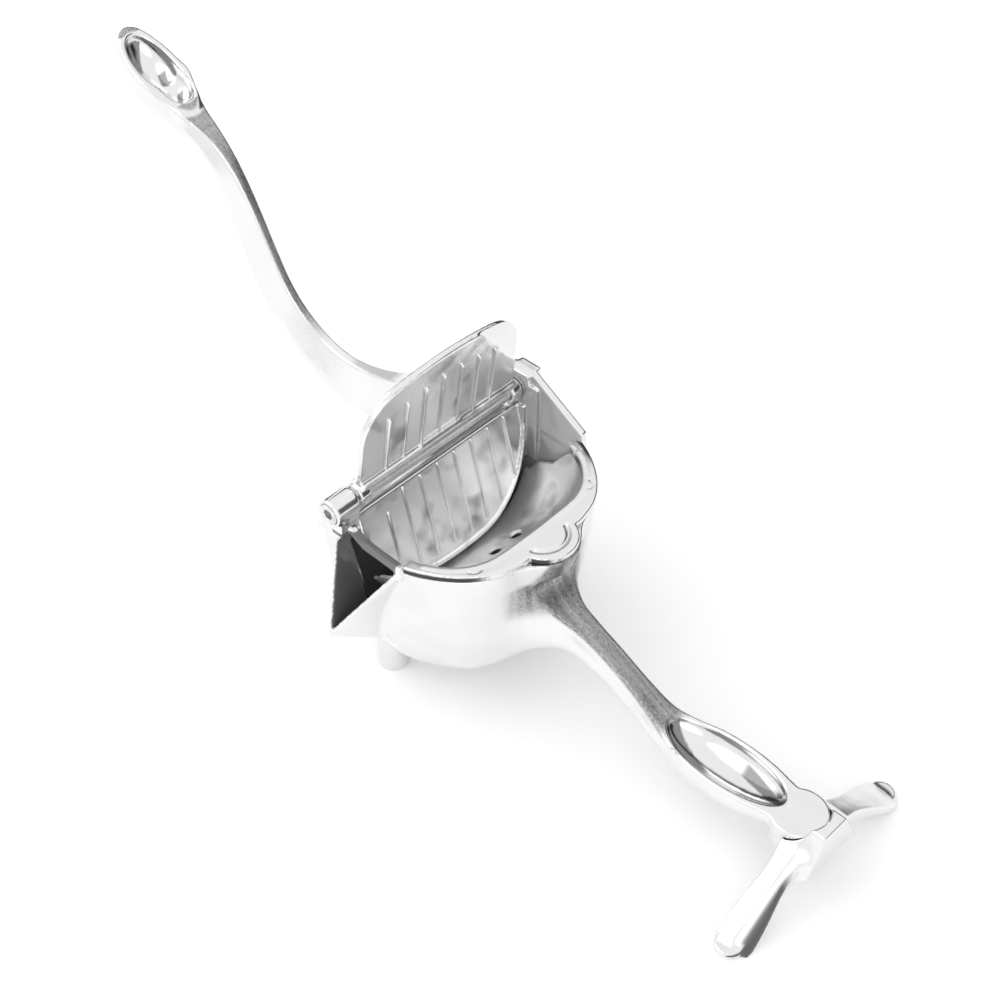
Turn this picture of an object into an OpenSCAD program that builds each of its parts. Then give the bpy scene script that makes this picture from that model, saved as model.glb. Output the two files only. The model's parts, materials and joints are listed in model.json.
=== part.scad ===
// Hand-operated lever fruit press, cast in aluminium, standing with its lever open.
// Origin: on the table, under the middle of the press. +X runs along the lower handle to the T foot,
// +Y along the hinge bolt, +Z up. The middle of the hinge axis is at (hinge_x, hinge_y, hinge_z).

/* [Overall] */
// Height of the hinge axis above the table
hinge_z = 94; // [88:1:100]
// Place of the hinge axis along X, behind the origin
hinge_x = -16; // [-20:1:-10]
// Place of the press's middle plane along Y; the beak reaches further out than the far ear
hinge_y = 7; // [6:0.5:8]
// Length of the lower handle, from the hinge axis to the front of the T foot
reach = 194; // [190:1:210]

/* [Bowl] */
// Half of the bowl's outer width at the rim
rim_half = 50; // [49:0.5:52]
// Distance from the hinge axis to the front of the rim
rim_depth = 61; // [60:0.5:64]
// Thickness of the cast walls
wall = 3.5; // [3:0.5:4]
// Depth of the bowl's rim below the hinge axis
rim_drop = 15; // [14:0.5:17]
// Depth of the bowl's underside below the hinge axis
bowl_drop = 84; // [82:1:86]
// Diameter of the pegs that the bowl stands on
peg_d = 13; // [10:0.5:14]
// Distance of each peg from the middle plane
peg_y = 31.5; // [30:0.5:34]
// Distance of the pegs in front of the hinge axis
peg_x = 4.5; // [4:0.5:8]

/* [Hinge] */
// Diameter of the hinge bolt's shank
shank_d = 6.4; // [6:0.1:6.5]
// Radial running clearance of the lever on the shank
clearance = 0.05; // [0.03:0.01:0.08]
// Distance of each ear's inner face from the middle plane
ear_in = 44; // [43.5:0.1:44.5]
// Half of an ear's width along X
ear_r = 5.3; // [5:0.1:5.5]

/* [Lever] */
// Angle of the press plate above the X axis, lever open
plate_open = 82; // [80:1:84]
// Distance from the hinge axis to the tip of the press plate's ribbed pad
plate_depth = 46; // [44:0.5:47]
// Width of the lever's arm
arm_w = 12; // [10:0.5:14]

/* [Ribbed faces] */
// Spacing of the ribs on both pressing faces
rib_gap = 9.1; // [8.5:0.1:9.5]
// Angle of the bowl's fixed ribbed wall below the X axis
wall_angle = 75; // [74:1:76]
// How far the fixed ribbed wall reaches from the hinge axis
wall_reach = 50; // [48:0.5:50]

/* [Hidden] */
$fn = 64;

cast = "silver";
hull_fn = 32;

cheek_out = rim_half - 0.2;      // outer face of the cheeks, the side walls above the rim
near_end = -55.4;                // Y of the near ear's outer face
far_end = 52.5;                  // Y of the far ear's outer face
head_d = 8.4;                    // socket head of the hinge bolt
head_h = 5;
thread_d = 5;
shank_end = 46;                  // where the bolt's shank ends and its thread begins
washer_t = 1;
washer_gap = 0.15;               // free play each side of a washer
lug_out = ear_in - washer_t - 2 * washer_gap;   // end face of the lever's lugs
lug_w = 5;
cradle_r = 10;                   // hollow behind the shank in which the lever's root turns

flange_t = 3;                    // strainer's collar, which lies on the rim
strainer_half = 43.5;
strainer_depth = 52.5;
strainer_t = 1.7;
strainer_r = 24;                 // corner radius of the strainer's inside, and where it is centred
strainer_c = 27.7;

pad_t = 1;                       // press plate: ribbed pad in front, wider lid behind it
pad_front = 1;
lid_t = 2;
pad_half = 40.5;
pad_r = 14.5;
lid_margin = 0.6;
rib_w = 1.6;
rib_h = 1.2;

handle_top = -66;                // Z of the lower handle's end, from the hinge axis
disc_x = reach - 15.5;           // centre of the round end that stands in the T foot
disc_r = 11;
disc_t = 7;
foot_y = 46;                     // tip of each foot leg

// Everything below is laid out from the hinge axis and then moved to its place.
module at_hinge() { translate([hinge_x, hinge_y, hinge_z]) children(); }

// Radius of the front arc that meets two corner arcs of radius r centred at distance c from the axis.
function front_r(half, depth, r, c) =
    let (a = half - r, m = depth - c) 0.95 * (a * a + m * m - r * r) / (2 * (m - r));

// D-shaped outline: x is the distance in front of the hinge axis, y runs along it.
module d_shape(half, depth, r, c, back = 0) {
    a = half - r;
    big = front_r(half, depth, r, c);
    translate([back, -half]) square([c - back, 2 * half]);
    for (s = [-1, 1]) translate([c, s * a]) circle(r);
    intersection() {
        translate([depth - big, 0]) circle(big, $fn = 180);
        polygon([[depth - big, 0], [c + (c - depth + big), 2 * a], [c + (c - depth + big), -2 * a]]);
    }
    translate([0, -a]) square([c, 2 * a]);
}

// Closed slab with the D outline, level at height z.
module d_slab(half, depth, r, c, back, z) {
    translate([0, 0, z]) linear_extrude(0.1) d_shape(half, depth, r, c, back, $fn = hull_fn);
}

// Extrudes an outline drawn in (x, z) along Y from y0 to y1.
module along_y(y0, y1) {
    translate([0, y1, 0]) rotate([90, 0, 0]) linear_extrude(y1 - y0) children();
}

// Shaft along Y from y0 to y1.
module shaft(d, y0, y1) { translate([0, y1, 0]) rotate([90, 0, 0]) cylinder(d = d, h = y1 - y0); }

// Turns a radial outline about the hinge axis from angle a0 to a1, measured up from +X.
module swing(a0, a1) { rotate([90, 0, 0]) rotate([0, 0, a0]) rotate_extrude(angle = a1 - a0) children(); }

// Level of each step of the bowl's outside, how far it has drawn in there, and its back.
function bowl_steps(t) = [[-rim_drop, 0, -14], [-50, 4, -13], [-70, 9, -11], [t - bowl_drop, 23, -4]];

module bowl_solid(t) {
    steps = bowl_steps(t);
    hull() for (s = steps)
        d_slab(rim_half - s[1] - t, rim_depth - 0.8 * s[1] - t, 28 - t - 0.3 * s[1], 28.5 - 0.6 * s[1],
               s[2] + t, s[0] - 0.1 + (t > 0 && s[0] == -rim_drop ? 1 : 0));
}

// Corners of the pouring beak where it leaves the near wall, and its lip.
beak_back = [-3, -8];
beak_front = [29, -14];
beak_keel = [9, -64];
beak_lip = [7, -66.5, -52];
beak_start = 48.1;               // where the beak begins to narrow, and how far it reaches inwards
beak_root = 39;

// Solid between the near wall and the lip; with t it is the beak's hollow, open at the top.
module beak_hull(t, rise) {
    hull() {
        along_y(-beak_start, -beak_root)
            polygon([beak_back + [t, 1.5 * t], beak_front + [-t, 1.5 * t], beak_keel + [0, 1.8 * t]]);
        translate(beak_lip + [0, t, t]) cube([2, 0.5, 0.5], center = true);
        translate(beak_lip + [0, t, t + rise]) cube([2, 0.5, 0.5], center = true);
    }
}

// The D-shaped tub, with the window that lets the juice into the beak.
module bowl_tub() color(cast) at_hinge() tub();

module tub() difference() {
    union() {
        bowl_solid(0);
        translate([55, 0, -rim_drop - 9]) cylinder(r = 14.5, h = 9);
    }
    bowl_solid(wall);
    along_y(-rim_half - 1, -rim_half + wall + 4)
        polygon([beak_back + [3, 0], beak_front - [4, 0], beak_keel + [0, 6]]);
}

module standing_pegs() color(cast) at_hinge() difference() {
    for (s = [-1, 1]) translate([peg_x, s * peg_y, -hinge_z]) cylinder(d = peg_d, h = 26);
    bowl_solid(0);
}

module pouring_beak() color(cast) at_hinge() difference() {
    beak_hull(0, 0);
    beak_hull(2.5, 24);
    bowl_solid(0);
    translate([-50, -cheek_out, -rim_drop - 1]) cube(100);
    translate([-ear_r, near_end - 1, -14.2]) cube([2 * ear_r, 20, 30]);
}

// Cheek: side wall that rises from the rim to the hinge. Its outline is drawn in (x, z).
module cheek(y0, outline) {
    along_y(y0, y0 + wall) polygon(outline);
}

module near_ear() color(cast) at_hinge() difference() {
    union() {
        cheek(-cheek_out, [[-14, -rim_drop], [-14, -5], [-5, -1], [1.5, -5], [6, -9.2], [12, -11.2],
                           [28.6, -11.7], [28.6, -rim_drop]]);
        shaft(2 * ear_r, near_end, -ear_in);
        // The column under the boss stops short of the ribbed wall's hollow on the inside.
        translate([0.3 - ear_r, near_end + 2, -11]) cube([2 * ear_r - 0.6, 5.5, 11]);
        translate([0.6 - ear_r, near_end + 2.4, -8.4]) cube([2 * ear_r - 1.2, 8.8, 8.4]);
    }
    shaft(shank_d + 2 * clearance, near_end - 1, 0);
    shaft(head_d + 0.2, near_end - 1, near_end + head_h + 0.2);
}

module far_ear() color(cast) at_hinge() difference() {
    union() {
        cheek(cheek_out - wall, [[-14, -rim_drop], [-14, -4], [-6, 6.8], [6, 6.8], [28.6, -7.2],
                                 [28.6, -rim_drop]]);
        along_y(ear_in, cheek_out - 1) polygon([[-6, 6.5], [5.7, 6.5], [5.7, -7.4], [-6, -7.4]]);
        along_y(cheek_out - 2, far_end) polygon([[-6.3, 6.2], [5.4, 6.2], [5.4, -13], [-6.3, -13]]);
    }
    // Blind hole for the bolt's shank and thread.
    shaft(shank_d + 2 * clearance, 0, shank_end);
    shaft(thread_d, shank_end - 1, shank_end + 4);
}

module ribbed_wall() color(cast) at_hinge() difference() {
    back_wall();
    tub();
}

// Fixed ribbed wall, with the hollow behind the shank and the bar that closes the bowl's back.
module back_wall() {
    half = cheek_out - wall;
    difference() {
        union() {
            rotate([0, wall_angle, 0]) translate([0, 0, -wall]) intersection() {
                linear_extrude(wall) d_shape(half + 0.5, wall_reach, 30, 16);
                translate([0, -half, 0]) cube([wall_reach, 2 * half, wall]);
            }
            along_y(0.2 - half, half - 0.2)
                polygon([[-14, -1.5], [-9, -1.5], [3.4, -9], [-1, -rim_drop], [-14, -rim_drop]]);
            for (i = [0:7]) let (y = (i - 3.28) * rib_gap, end = 0.99 * sqrt(pow(wall_reach - 3, 2) - y * y))
                rotate([0, wall_angle, 0]) translate([cradle_r - 3, y - rib_w / 2, -1])
                    cube([end - cradle_r + 3, rib_w, rib_h + 1]);
        }
        shaft(2 * cradle_r, -half - 1, half + 1);
    }
}

module strainer() color(cast) at_hinge() {
    difference() {
        swing(-72, -11) difference() {
            d_shape(strainer_half + strainer_t, strainer_depth + strainer_t, strainer_r + strainer_t,
                    strainer_c);
            translate([-1, 0]) d_shape(strainer_half, strainer_depth + 1, strainer_r, strainer_c + 1);
            translate([-20, -60]) square([22, 120]);
        }
        // The side walls are cut down to a wavy edge.
        along_y(-60, 60)
            polygon([[-9, 9], [36, 9], [36, -13], [28, -18], [23, -24.5], [16, -30], [12, -36]]);
        translate([0, 0, flange_t - rim_drop]) cylinder(r = 80, h = 60);
        // Drain holes in rows round the shell.
        for (a = [24:12:60]) for (i = [-1.5:1:1.5]) rotate([0, a, 0])
            translate([strainer_depth - 8, i * 12, 0]) rotate([0, 90, 0]) cylinder(d = 3.4, h = 12);
    }
    translate([0, 0, -rim_drop]) linear_extrude(flange_t) difference() {
        union() {
            d_shape(rim_half, rim_depth, 28, 28.5);
            translate([55, 0]) circle(13.5);
        }
        translate([-20, 0]) square([2 * 49, 200], center = true);
        d_shape(strainer_half - 0.5, strainer_depth - 3, strainer_r, strainer_c - 3);
        for (s = [-1, 1]) translate([rim_depth + 1, s * 13.4]) square([4, 3], center = true);
    }
}

module near_washer() color("gainsboro") at_hinge() washer(-ear_in + washer_gap);
module far_washer() color("gainsboro") at_hinge() washer(ear_in - washer_gap - washer_t);

module washer(y0) {
    difference() {
        shaft(10, y0, y0 + washer_t);
        shaft(shank_d + 2 * clearance, y0 - 1, y0 + washer_t + 1);
    }
}

module hinge_bolt() color("gainsboro") at_hinge() difference() {
    union() {
        shaft(head_d, near_end, near_end + head_h);
        shaft(shank_d, near_end + head_h, shank_end - 0.1);
        shaft(thread_d - 0.1, shank_end - 1, shank_end + 3.8);
    }
    translate([0, near_end + 3, 0]) rotate([90, 0, 0]) cylinder(d = 4.62, h = 4, $fn = 6);
}

// Point at t on a cubic curve with four control points.
function curve(p, t) = pow(1 - t, 3) * p[0] + 3 * pow(1 - t, 2) * t * p[1] + 3 * (1 - t) * t * t * p[2]
    + pow(t, 3) * p[3];
function slope(p, t) = 3 * pow(1 - t, 2) * (p[1] - p[0]) + 6 * (1 - t) * t * (p[2] - p[1])
    + 3 * t * t * (p[3] - p[2]);
function side(p, t, d) = let (v = slope(p, t)) curve(p, t) + d * [-v[1], v[0]] / norm(v);

// Solid that runs through a list of six-sided sections, each drawn in a plane parallel to Y.
// A section is [inner point, palm point, half width on the inner face, half width on the palm side].
module sweep(sections) {
    n = len(sections);
    function ring(q) = let (a = q[0], b = q[1], m = b + (a - b) * 0.35) [[a[0], q[2], a[1]],
        [m[0], q[3], m[1]], [b[0], q[3] * 0.7, b[1]], [b[0], -q[3] * 0.7, b[1]], [m[0], -q[3], m[1]],
        [a[0], -q[2], a[1]]];
    polyhedron([for (q = sections) each ring(q)],
        concat([[5, 4, 3, 2, 1, 0]], [[for (k = [0:5]) (n - 1) * 6 + k]],
               [for (i = [0:n - 2]) for (k = [0:5]) each
                   [[i * 6 + k, i * 6 + (k + 1) % 6, i * 6 + 6 + k],
                    [i * 6 + (k + 1) % 6, i * 6 + 6 + (k + 1) % 6, i * 6 + 6 + k]]]));
}

// The arm leaves the press plate, dips behind the hinge and climbs to the palm rest.
arm_curves = [[[-3, 14], [-20, 8], [-52, 0], [-71, 17]], [[-71, 17], [-82, 27], [-93, 47], [-102, 66]],
              [[-102, 66], [-107, 75], [-115, 82], [-131, 87]]];
arm_depth = [24, 10, 8.5, 6];
arm_inner = [4, 2, 2.5, 5];
rest_at = [-145, 93.5];
rest_tilt = 26;

module press_plate() color(cast) at_hinge() difference() {
    rotate([0, 90 - plate_open, 0]) plate();
    shaft(shank_d + 2 * clearance, -lug_out - 1, lug_out + 1);
}

module lever_arm() color(cast) at_hinge() difference() {
    union() {
        sweep([for (i = [0:2]) for (t = [0:0.125:(i == 2 ? 1 : 0.9)])
            let (d = arm_depth[i] + (arm_depth[i + 1] - arm_depth[i]) * t)
            [side(arm_curves[i], t, -d / 2), side(arm_curves[i], t, d / 2),
             -arm_inner[i] - (arm_inner[i + 1] - arm_inner[i]) * t, -arm_w / 2 - 1]]);
        translate([rest_at[0], 0, rest_at[1]]) rotate([0, rest_tilt, 0]) palm_rest();
    }
    // The plate and its hub are cut away in one piece.
    rotate([0, 90 - plate_open, 0])
        translate([pad_front - pad_t - lid_t, -20, -20]) cube([30, 40, 80]);
    shaft(12, -20, 20);
}

// Oval palm rest with a hollow top.
module palm_rest() difference() {
    hull() {
        translate([-2, 0, 1]) linear_extrude(4) scale([18.5, 9.5]) circle(1, $fn = 48);
        translate([-2, 0, -4]) cylinder(r = 5, h = 2, $fn = 24);
    }
    translate([-3, 0, 6]) scale([16, 7, 5]) sphere(1);
}

// Press plate standing up from the hinge axis, its ribbed face towards +X, with the hub behind the shank.
module plate() {
    // Outline reaching from the hinge axis to the given depth, drawn in (depth, y).
    module outline(grow) {
        r = pad_r + grow;
        y = pad_half - pad_r;
        c = plate_depth - pad_r;
        translate([0, -pad_half - grow]) square([c, 2 * (pad_half + grow)]);
        translate([0, -y]) square([plate_depth + grow, 2 * y]);
        for (s = [-1, 1]) translate([c, s * y]) circle(r);
    }
    module face(x0, x1) {
        translate([x0, 0, 0]) rotate([0, -90, 0]) mirror([0, 0, 1]) linear_extrude(x1 - x0) children();
    }
    face(pad_front - pad_t, pad_front) outline(0);
    face(pad_front - pad_t - lid_t, pad_front - pad_t) outline(lid_margin);
    for (i = [0:6]) let (y = (i - 3.06) * rib_gap, length = plate_depth - 12 - pow(y / 13, 2))
        translate([0, y - rib_w / 2, 3.4]) cube([pad_front + rib_h, rib_w, length]);
    intersection() {
        shaft(12, -pad_half, pad_half);
        translate([pad_front - 10, -50, -10]) cube([10, 100, 20]);
    }
    for (s = [-1, 1]) translate([0, s * (lug_out - lug_w / 2), 0]) shaft(9.8, -lug_w / 2, lug_w / 2);
}

// Stations of the lower handle: x, top, half width of the top, half width of the flanks, depth.
handle_stations = [
    [50, -24, 22, 24, 40],
    [61, -33, 11, 16, 27],
    [69, -41, 6.5, 10, 17],
    [79, -44, 4.5, 8, 13],
    [92, -50, 4, 7, 12],
    [105, -57, 4, 7, 11],
    [118, -64, 5.5, 8, 9.5],
    [126, -66, 8.5, 10, 9],
    [136, -66, 11.2, 12, 10],
    [150, -66, 12, 12.5, 10],
    [164, -66, 10.5, 11, 7],
    [174, -66, 8.5, 9, 7]];

module lower_handle() color(cast) at_hinge() difference() {
    union() {
        sweep([for (q = handle_stations) [[q[0], q[1]], [q[0] - q[4] * 0.3, q[1] - q[4]], q[2], q[3]]]);
        translate([disc_x, 0, handle_top - disc_t]) cylinder(r = disc_r, h = disc_t);
    }
    bowl_solid(0);
    translate([55, 0, -rim_drop - 9]) cylinder(r = 14.5, h = 9);
    translate([147, 0, handle_top + 1]) scale([27, 9.5, 7]) sphere(1);
    translate([disc_x, 0, handle_top - disc_t - 1]) cylinder(d = thread_d, h = 6);
}

module foot_bracket() color(cast) at_hinge() {
    seat = handle_top - disc_t;
    top = handle_top + 4;
    paddle_x = reach - 8;
    paddle_r = 7.5;
    leg_y = foot_y - paddle_r;
    paddle_w = paddle_r - 0.5;
    difference() {
        intersection() {
            // Outline seen along the handle: a block in the middle and two drooping legs.
            translate([disc_x - 20, 0, 0]) rotate([90, 0, 90]) linear_extrude(50) polygon([
                [6.2, top], [12, seat + 3], [leg_y, -85], [foot_y - 2, -89], [foot_y, -92],
                [foot_y, -hinge_z], [leg_y - 1, -hinge_z], [12, seat - 6], [-12, seat - 6],
                [1 - leg_y, -hinge_z], [-foot_y, -hinge_z], [-foot_y, -92], [2 - foot_y, -89], [-leg_y, -85],
                [-12, seat + 3], [-6.2, top]]);
            // Outline seen from above: round seat, narrow necks and round paddles.
            translate([0, 0, -100]) union() {
                translate([disc_x, 0, 0]) cylinder(r = disc_r - 0.6, h = 60);
                linear_extrude(59)
                    polygon([[disc_x - 3, 8], [paddle_x - 6, 18], [paddle_x - paddle_w, leg_y],
                             [paddle_x + paddle_w, leg_y], [reach - 2, 14], [reach, 6.2], [reach, -6.2],
                             [reach - 2, -14], [paddle_x + paddle_w, -leg_y], [paddle_x - paddle_w, -leg_y],
                             [paddle_x - 6, -18], [disc_x - 3, -8]]);
                for (s = [-1, 1]) translate([paddle_x, s * leg_y, 0]) cylinder(r = paddle_r, h = 58);
            }
        }
        translate([disc_x, 0, seat]) linear_extrude(20) {
            circle(disc_r + 0.1);
            translate([-30, -60]) square([30, 120]);
        }
        translate([disc_x, 0, seat - 10]) cylinder(d = thread_d + 0.4, h = 20);
    }
}

module foot_screw() color("gainsboro") at_hinge() {
    seat = handle_top - disc_t;
    translate([disc_x, 0, seat - 9]) cylinder(d = 9, h = 3);
    translate([disc_x, 0, seat - 6]) cylinder(d = thread_d, h = 10);
}

bowl_tub();
standing_pegs();
near_ear();
far_ear();
ribbed_wall();
pouring_beak();
lower_handle();
foot_bracket();
foot_screw();
strainer();
press_plate();
lever_arm();
hinge_bolt();
near_washer();
far_washer();
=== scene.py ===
"""Lever fruit press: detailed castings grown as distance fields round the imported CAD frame.

Each casting is one field, negative inside the metal. It is meshed on a lattice, and its vertices are painted
with numbers that its material reads. The bolt, the screw and the washers are the frame's own.
Lengths are in millimetres from the middle of the hinge axis until place() moves them to the frame.
"""

import json
import math

import bpy
import numpy as np
import openvdb
from mathutils import Matrix, Vector


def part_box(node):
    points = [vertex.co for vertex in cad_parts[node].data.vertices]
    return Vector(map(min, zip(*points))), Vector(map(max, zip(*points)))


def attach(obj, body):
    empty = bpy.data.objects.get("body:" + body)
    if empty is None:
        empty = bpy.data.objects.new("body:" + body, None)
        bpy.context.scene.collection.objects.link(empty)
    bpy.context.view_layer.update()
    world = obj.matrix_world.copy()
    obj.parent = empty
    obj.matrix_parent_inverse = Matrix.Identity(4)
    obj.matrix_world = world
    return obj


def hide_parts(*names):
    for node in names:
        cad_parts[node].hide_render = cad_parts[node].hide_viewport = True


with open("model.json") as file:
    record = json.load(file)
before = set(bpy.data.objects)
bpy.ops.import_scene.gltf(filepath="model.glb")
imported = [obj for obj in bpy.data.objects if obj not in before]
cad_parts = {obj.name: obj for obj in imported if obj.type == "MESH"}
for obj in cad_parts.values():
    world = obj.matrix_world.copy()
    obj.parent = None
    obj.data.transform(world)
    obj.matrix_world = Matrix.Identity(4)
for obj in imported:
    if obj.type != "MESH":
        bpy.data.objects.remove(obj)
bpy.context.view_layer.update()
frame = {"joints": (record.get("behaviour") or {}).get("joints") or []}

HINGE = np.array(frame["joints"][0]["pos_m"]) * 1000
FLOOR = -HINGE[2]

# Bowl: the rim's D outline, and how much its front bows out
RIM_HALF, RIM_DEPTH, RIM_Z = 50.0, 61.0, -15.0
RIM_CORNER = 28.0
RIM_BOW = 0.0062
WALL = 3.5
BOWL_FLOOR = -84.0
CHEEK_Y = 48.05                        # middle of each cheek's thickness
WALL_ANGLE = math.radians(75)          # fixed ribbed wall, below the X axis
WALL_REACH = 51.5
CRADLE_R = 7.2                         # hollow in which the lever's root turns
PEG_X, PEG_Y, PEG_R, PEG_H = 4.5, 31.5, 6.5, 24
LUG_X, LUG_R, TAB_R = 55, 14, 13.3     # round lug at the front of the rim, and the strainer's tab on it

# Hinge
ROD_R = 3.2
EAR_IN = 44.0
EAR_R = 5.7
NEAR_END, FAR_END = -55.4, 52.5        # outer faces of the two ears
RECESS_R, RECESS_DEEP = 4.3, 5.2       # room for the bolt's head in the near ear
HUB_R, LEVER_LUG_R = 6, 4.9
LEVER_LUG_END = EAR_IN - 1.3

# Strainer: the inside of its shell, and its collar
STRAINER_HALF, STRAINER_DEPTH, STRAINER_CORNER = 43.5, 52.5, 24.0
STRAINER_T = 1.7
FLANGE_T = 3.0

# Lever: ribbed pad in front, wider lid behind it
PLATE_ANGLE = math.radians(82)
PAD_HALF, PAD_DEPTH, PAD_CORNER = 40.5, 46.0, 14.5
PAD_FACE, PAD_T, LID_T, LID_MARGIN = 1.0, 0.9, 1.9, 0.5

# Ribs of both pressing faces. The first one's place is in gaps from the middle plane.
RIB_GAP, RIB_HALF, RIB_H = 9.1, 0.75, 1.2
WALL_RIBS, FIRST_WALL_RIB = 8, -3.28
PLATE_RIBS, FIRST_PLATE_RIB = 7, -3.08

# Lower handle and foot
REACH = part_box("foot_bracket")[1][0] * 1000 - HINGE[0]
HANDLE_TOP = -66.0
DISC_X, DISC_R, DISC_T = REACH - 15.5, 11.0, 7.0
FOOT_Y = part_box("foot_bracket")[1][1] * 1000


# ---------------------------------------------------------------- distance fields

NO_LIMIT = -40                         # value of a field that leaves another as it is


def smin(a, b, k):
    """Union of two fields, with a fillet of about k where they meet."""
    h = np.clip(0.5 + 0.5 * (b - a) / k, 0, 1)
    return b + (a - b) * h - k * h * (1 - h)


def smax(a, b, k):
    """Overlap of two fields, with its edge rounded by about k."""
    return -smin(-a, -b, k)


def lattice(low, high, step):
    """Open grid of x, y and z that a field is worked out on, from its low to its high corner."""
    axes = [np.arange(a, b, step, dtype=np.float32) for a, b in zip(low, high)]
    return np.meshgrid(*axes, indexing="ij", sparse=True)


def d_shape(x, y, half, depth, corner, bow):
    """D outline: straight sides, round corners of the given radius and a front that bows out."""
    qx = x + bow * y * y - (depth - corner)
    qy = np.abs(y) - (half - corner)
    return np.hypot(np.maximum(qx, 0), np.maximum(qy, 0)) + np.minimum(np.maximum(qx, qy), 0) - corner


def polygon(u, v, points):
    """Distance to a closed outline of straight edges, negative inside."""
    best = np.float32(1e9)
    inside = np.zeros(np.broadcast(u, v).shape, bool)
    for (au, av), (bu, bv) in zip(points, points[1:] + points[:1]):
        eu, ev = bu - au, bv - av
        t = np.clip(((u - au) * eu + (v - av) * ev) / (eu * eu + ev * ev), 0, 1)
        best = np.minimum(best, (u - au - eu * t) ** 2 + (v - av - ev * t) ** 2)
        if ev:
            inside ^= ((av <= v) != (bv <= v)) & (u - au < eu * (v - av) / ev)
    return np.where(inside, -1, 1) * np.sqrt(best)


def slab(value, low, high):
    """Distance to the layer between two values of a coordinate."""
    return np.abs(value - (low + high) / 2) - (high - low) / 2


def half_space(x, y, z, through, inside):
    """Field of the side of a plane through three points that holds the fourth."""
    a, b, c = (np.array(p, float) for p in through)
    n = np.cross(b - a, c - a)
    n /= np.linalg.norm(n)
    if n @ (np.array(inside, float) - a) > 0:
        n = -n
    return x * n[0] + y * n[1] + z * n[2] - n @ a


def flow(x, stations, column):
    """Smooth curve through one column of a list of stations, whose first column is x."""
    xs = np.array([s[0] for s in stations], float)
    ys = np.array([s[column] for s in stations], float)
    steps = np.diff(ys) / np.diff(xs)
    slopes = np.concatenate([[steps[0]], (steps[1:] + steps[:-1]) / 2, [steps[-1]]])
    i = np.clip(np.searchsorted(xs, x) - 1, 0, len(xs) - 2)
    w = xs[i + 1] - xs[i]
    t = np.clip((x - xs[i]) / w, 0, 1)
    value = ((1 + 2 * t) * (1 - t) ** 2 * ys[i] + t * (1 - t) ** 2 * w * slopes[i]
             + t * t * (3 - 2 * t) * ys[i + 1] - t * t * (1 - t) * w * slopes[i + 1])
    return value.astype(np.float32)


def place(points):
    """Hinge-centred millimetres to the frame's metres."""
    return (points + HINGE) / 1000


def mesh_object(name, points, faces, body, stands_for=()):
    """A piece from points in the frame's metres and its faces, riding on a body."""
    mesh = bpy.data.meshes.new(name)
    mesh.from_pydata(points.tolist(), [], faces)
    mesh.shade_smooth()
    piece = bpy.data.objects.new(name, mesh)
    bpy.context.scene.collection.objects.link(piece)
    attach(piece, body)
    if stands_for:
        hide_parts(*stands_for)
    return piece


def grow(name, field, low, step, body, stands_for):
    """The zero surface of a field as a piece; low and step are those of the field's lattice."""
    band = 3.0
    grid = openvdb.FloatGrid(background=band)
    grid.copyFromArray(np.ascontiguousarray(np.clip(field, -band, band), dtype=np.float32))
    points, _, quads = grid.convertToPolygons()
    points = points * step + np.array(low)
    a, b, c, d = (points[quads[:, k]] for k in range(4))
    volume = (np.cross(b - a, c - a) * a).sum() + (np.cross(c - a, d - a) * a).sum()
    if volume < 0:
        quads = quads[:, ::-1]
    piece = mesh_object(name, place(points), quads.tolist(), body, stands_for)
    even = piece.modifiers.new("even", "SMOOTH")
    even.factor = 0.5
    even.iterations = 2
    return piece


def paint(piece, brushed=0.0, mottle=0.0, matt=0.0, tone=1.0):
    """Stores, for each vertex, the numbers that cast_metal() reads.

    brushed: fine streaks; mottle: satin cast face; matt: scatters light; the last: painted shade and painted
    dark reflections, which darken below 1.
    """
    count = len(piece.data.vertices)
    for name, values in (("brushed", brushed), ("mottle", mottle), ("matt", matt), ("tone", tone)):
        layer = piece.data.attributes.new(name, "FLOAT", "POINT")
        layer.data.foreach_set("value", np.full(count, values, dtype=np.float32))


def vertex_data(piece):
    """Vertices in hinge-centred millimetres and their normals."""
    n = len(piece.data.vertices)
    co = np.empty(n * 3, np.float32)
    piece.data.vertices.foreach_get("co", co)
    normal = np.empty(n * 3, np.float32)
    piece.data.vertex_normals.foreach_get("vector", normal)
    return co.reshape(-1, 3) * 1000 - HINGE, normal.reshape(-1, 3)


def reflections(nx, ny):
    """Share of painted dark reflection on a hollow facing up, from its normal: where it would mirror the
    dark parts of the studio.
    """
    first = ramp(0.85 * nx + 0.5 * ny, 0.2, 0.25) * ramp(nx, 0.02, 0.08)
    back = -0.8 * nx - 0.6 * ny
    second = ramp(back, 0.17, 0.21) * ramp(back, 0.5, 0.42) * ramp(-nx, 0.03, 0.08)
    return np.clip(first + second, 0, 1)


def ramp(value, low, high):
    """0 below low, 1 above high, smooth between."""
    t = np.clip((value - low) / (high - low), 0, 1)
    return t * t * (3 - 2 * t)


# ---------------------------------------------------------------- bowl casting

# Beak: its two corners on the near wall, its keel, its lip and its wall thickness.
BEAK_BACK, BEAK_FRONT = (-2.5, -50, -8), (29.5, -50, -15)
BEAK_KEEL, BEAK_LIP = (9, -50, -64), (7, -66.5, -52)
BEAK_T = 1.7

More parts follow.
